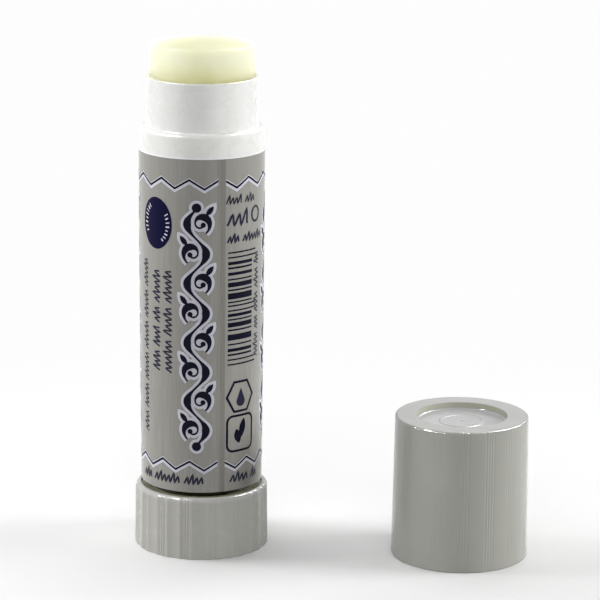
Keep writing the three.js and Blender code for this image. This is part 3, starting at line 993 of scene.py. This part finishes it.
def print_panel(middle):
    """One face's printing: badge, small print, scroll, stripes and signs round a middle angle."""
    navy, white = scroll(middle - 2.5, SCROLL_LOW, SCROLL_HIGH)
    navy += stripes(middle + 40.8, 30.6, 48.2)
    hexagon = regular_polygon(middle + 41.5, 25.5, 2.7, 6, 0, 0.95)
    navy.append(stroke(finer(hexagon, closed=True), 0.36, closed=True))
    square = rounded_square(middle + 41.5, 19.65, 5.0, 5.6, 1.0)
    navy.append(stroke(finer(square, closed=True), 0.36, closed=True))
    navy.append(leaf(middle + 43.5, 20.4, 3.2, 1.2, 78))
    navy.append(leaf(middle + 38.2, 19.2, 2.4, 1.3, 105))
    slate = [drop(middle + 41.5, 25.3, 1.7)]
    slate += scribble(middle + 42.5, 56.4, 6.0, 1.2, 0.22, 2)
    slate += scribble(middle + 37.5, 53.5, 4.0, 2.2, 0.36, 9)
    ring = regular_polygon(middle + 59.5, 53.7, 1.15, 20, 0, 0.8)
    slate.append(stroke(ring, 0.34, closed=True))
    slate += scribble(middle + 48.5, 50.4, 7.6, 1.2, 0.27, 5)
    slate += scribble(middle + 61.5, 39.4, 16.4, 1.15, 0.22, 7, upright=True)
    slate += scribble(middle - 60.0, 33.0, 27.6, 1.15, 0.22, 3, upright=True)
    slate += scribble(middle + BADGE_ANGLE, 38.0, 17.0, 1.35, 0.27, 6, upright=True)
    slate += scribble(middle - 30.5, 37.8, 16.8, 1.35, 0.27, 8, upright=True)
    oval, marks = badge(middle + BADGE_ANGLE, 52.5)
    return navy, slate, white, oval, marks


def make_print():
    """The borders, both faces, the line at the foot and the scrolls at the sides."""
    zigzag("border_high", 59.65, 58.25)
    zigzag("border_low", 15.55, 14.15)
    for name, middle in (("front", 0), ("back", 180)):
        navy, slate, white, oval, marks = print_panel(middle)
        printed(name + "_print_halo", white, INK_WHITE, PAPER_WHITE)
        printed(name + "_print", navy, INK_NAVY, NAVY)
        printed(name + "_small_print", slate, INK_NAVY, SLATE)
        printed(name + "_badge", oval, INK_NAVY, BADGE)
        printed(name + "_badge_marks", marks, INK_NAVY + 0.01, PAPER_WHITE)
    foot = []
    for angle, length, seed in ((-31, 11.6, 5), (47, 5.8, 3), (150, 12.2, 7)):
        foot += scribble(angle, FOOT_PRINT_HEIGHT, length, 1.3, 0.3, seed)
    printed("foot_print", foot, INK_NAVY, SLATE)
    side_navy, side_white = [], []
    for middle in (-93.5, 89):
        stems, halos = scroll(middle, SCROLL_LOW, SCROLL_HIGH)
        side_navy += stems
        side_white += halos
    printed("side_print_halo", side_white, INK_WHITE, PAPER_WHITE)
    printed("side_print", side_navy, INK_NAVY, NAVY)


# Stage

CAMERA_AT = (17.33, -436.84, 147.23)
CAMERA_YAW = -0.0049
CAMERA_PITCH = 0.2429
CAMERA_ROLL = 0.0096
CAMERA_PIXELS = 2910.8
IMAGE_PIXELS = 600
SENSOR_WIDTH = 36


def make_camera():
    """The camera fitted to the photograph; its focal length is in the picture's pixels."""
    data = bpy.data.cameras.new("camera")
    data.sensor_width = SENSOR_WIDTH
    data.lens = CAMERA_PIXELS / IMAGE_PIXELS * data.sensor_width
    data.clip_start = 0.01
    data.clip_end = 20
    camera = bpy.data.objects.new("camera", data)
    bpy.context.scene.collection.objects.link(camera)
    ahead = Vector((math.sin(CAMERA_YAW) * math.cos(CAMERA_PITCH),
                    math.cos(CAMERA_YAW) * math.cos(CAMERA_PITCH), -math.sin(CAMERA_PITCH)))
    right = ahead.cross(Vector((0, 0, 1))).normalized()
    up = right.cross(ahead)
    rolled_right = right * math.cos(CAMERA_ROLL) + up * math.sin(CAMERA_ROLL)
    rolled_up = up * math.cos(CAMERA_ROLL) - right * math.sin(CAMERA_ROLL)
    turn = Matrix((rolled_right, rolled_up, -ahead)).transposed()
    camera.matrix_world = Matrix.Translation(Vector(CAMERA_AT) * MM) @ turn.to_4x4()
    bpy.context.scene.camera = camera


FLOOR_SEEN = 0.985
FLOOR_LIT = 0.1
SKY_LIT = 0.3
FLOOR_COLOUR = 0.84
FLOOR_BOUNCE = 0.32
FLOOR_HALF = 3000
FLOOR_MIDDLE = 20
FLOOR_FADE = (60, 120)
PURE_WHITE = (1, 1, 1, 1)


def seen_or_lit(tree, seen, lit):
    """One strength for rays that show a surface, mirrored or seen through too, another for rays
    that gather light."""
    path = tree.nodes.new("ShaderNodeLightPath")
    last = path.outputs["Is Camera Ray"]
    for kind in ("Is Glossy Ray", "Is Transmission Ray"):
        last = calculated(tree, "MAXIMUM", last, path.outputs[kind])
    return mapped(tree, last, 0, 1, lit, seen)


def make_floor():
    """A floor that takes shadows near the things and fades into the bright ground round them."""
    points = [(x * FLOOR_HALF, y * FLOOR_HALF, 0) for x, y in ((-1, -1), (1, -1), (1, 1), (-1, 1))]
    mesh = mesh_from("floor", points, [(0, 1, 2, 3)], solid=False)
    material = bpy.data.materials.new("floor")
    material.use_nodes = True
    tree = material.node_tree
    tree.nodes.clear()
    output = tree.nodes.new("ShaderNodeOutputMaterial")
    shade = tree.nodes.new("ShaderNodeBsdfDiffuse")
    tree.links.new(seen_or_lit(tree, FLOOR_COLOUR, FLOOR_BOUNCE), shade.inputs["Color"])
    glow = tree.nodes.new("ShaderNodeEmission")
    glow.inputs["Color"].default_value = PURE_WHITE
    tree.links.new(seen_or_lit(tree, FLOOR_SEEN, FLOOR_LIT), glow.inputs["Strength"])
    geometry = tree.nodes.new("ShaderNodeNewGeometry")
    distance = tree.nodes.new("ShaderNodeVectorMath")
    distance.operation = "DISTANCE"
    distance.inputs[1].default_value = (FLOOR_MIDDLE * MM, 0, 0)
    tree.links.new(geometry.outputs["Position"], distance.inputs[0])
    near, far = FLOOR_FADE
    fade = mapped(tree, distance.outputs["Value"], near * MM, far * MM, smooth=True)
    mix = tree.nodes.new("ShaderNodeMixShader")
    tree.links.new(fade, mix.inputs["Fac"])
    tree.links.new(shade.outputs["BSDF"], mix.inputs[1])
    tree.links.new(glow.outputs["Emission"], mix.inputs[2])
    tree.links.new(mix.outputs["Shader"], output.inputs["Surface"])
    floor = add_object("floor", mesh, material)


def make_world():
    """A plain white studio that shows bright but lights only faintly."""
    world = bpy.data.worlds.new("studio")
    bpy.context.scene.world = world
    world.use_nodes = True
    tree = world.node_tree
    tree.nodes.clear()
    output = tree.nodes.new("ShaderNodeOutputWorld")
    sky = tree.nodes.new("ShaderNodeBackground")
    sky.inputs["Color"].default_value = PURE_WHITE
    tree.links.new(seen_or_lit(tree, FLOOR_SEEN, SKY_LIT), sky.inputs["Strength"])
    tree.links.new(sky.outputs["Background"], output.inputs["Surface"])


def add_lamp(name, place, target, width, height, power, mirrored=False):
    """A soft box aimed at a target, that either lights the things or only shows in their gloss."""
    data = bpy.data.lights.new(name, "AREA")
    data.shape = "RECTANGLE"
    data.size = width * MM
    data.size_y = height * MM
    data.energy = power
    lamp = bpy.data.objects.new(name, data)
    bpy.context.scene.collection.objects.link(lamp)
    lamp.location = Vector(place) * MM
    aim = Vector(target) - Vector(place)
    lamp.rotation_mode = "QUATERNION"
    lamp.rotation_quaternion = aim.to_track_quat("-Z", "Y")
    lamp.visible_glossy = mirrored
    lamp.visible_diffuse = not mirrored


def make_lights():
    """The soft boxes round the things, in watts, and two glints in their edges."""
    middle, low = (20, 0, 30), (20, 0, 20)
    add_lamp("left_panel", (-525, 54, 131), middle, 260, 220, 3.4)
    add_lamp("right_panel", (567, 16, 131), middle, 280, 220, 3.45)
    add_lamp("right_far", (294, 471, 131), middle, 240, 220, 0.65)
    add_lamp("left_back", (-318, 281, 360), middle, 400, 300, 0.65)
    add_lamp("back_wall", (20, 650, 280), middle, 600, 350, 1.35)
    add_lamp("front_wall", (20, -560, 265), low, 700, 400, 1.84)
    add_lamp("left_glint", (-235, -70, 325), low, 120, 100, 5.0, mirrored=True)
    add_lamp("right_glint", (200, 200, 325), low, 60, 260, 4.9, mirrored=True)


make_barrel()
make_label()
make_print()
make_knob()
make_glue()
make_cap()
make_floor()
make_world()
make_lights()
make_camera()
bpy.context.scene.view_settings.view_transform = "Standard"
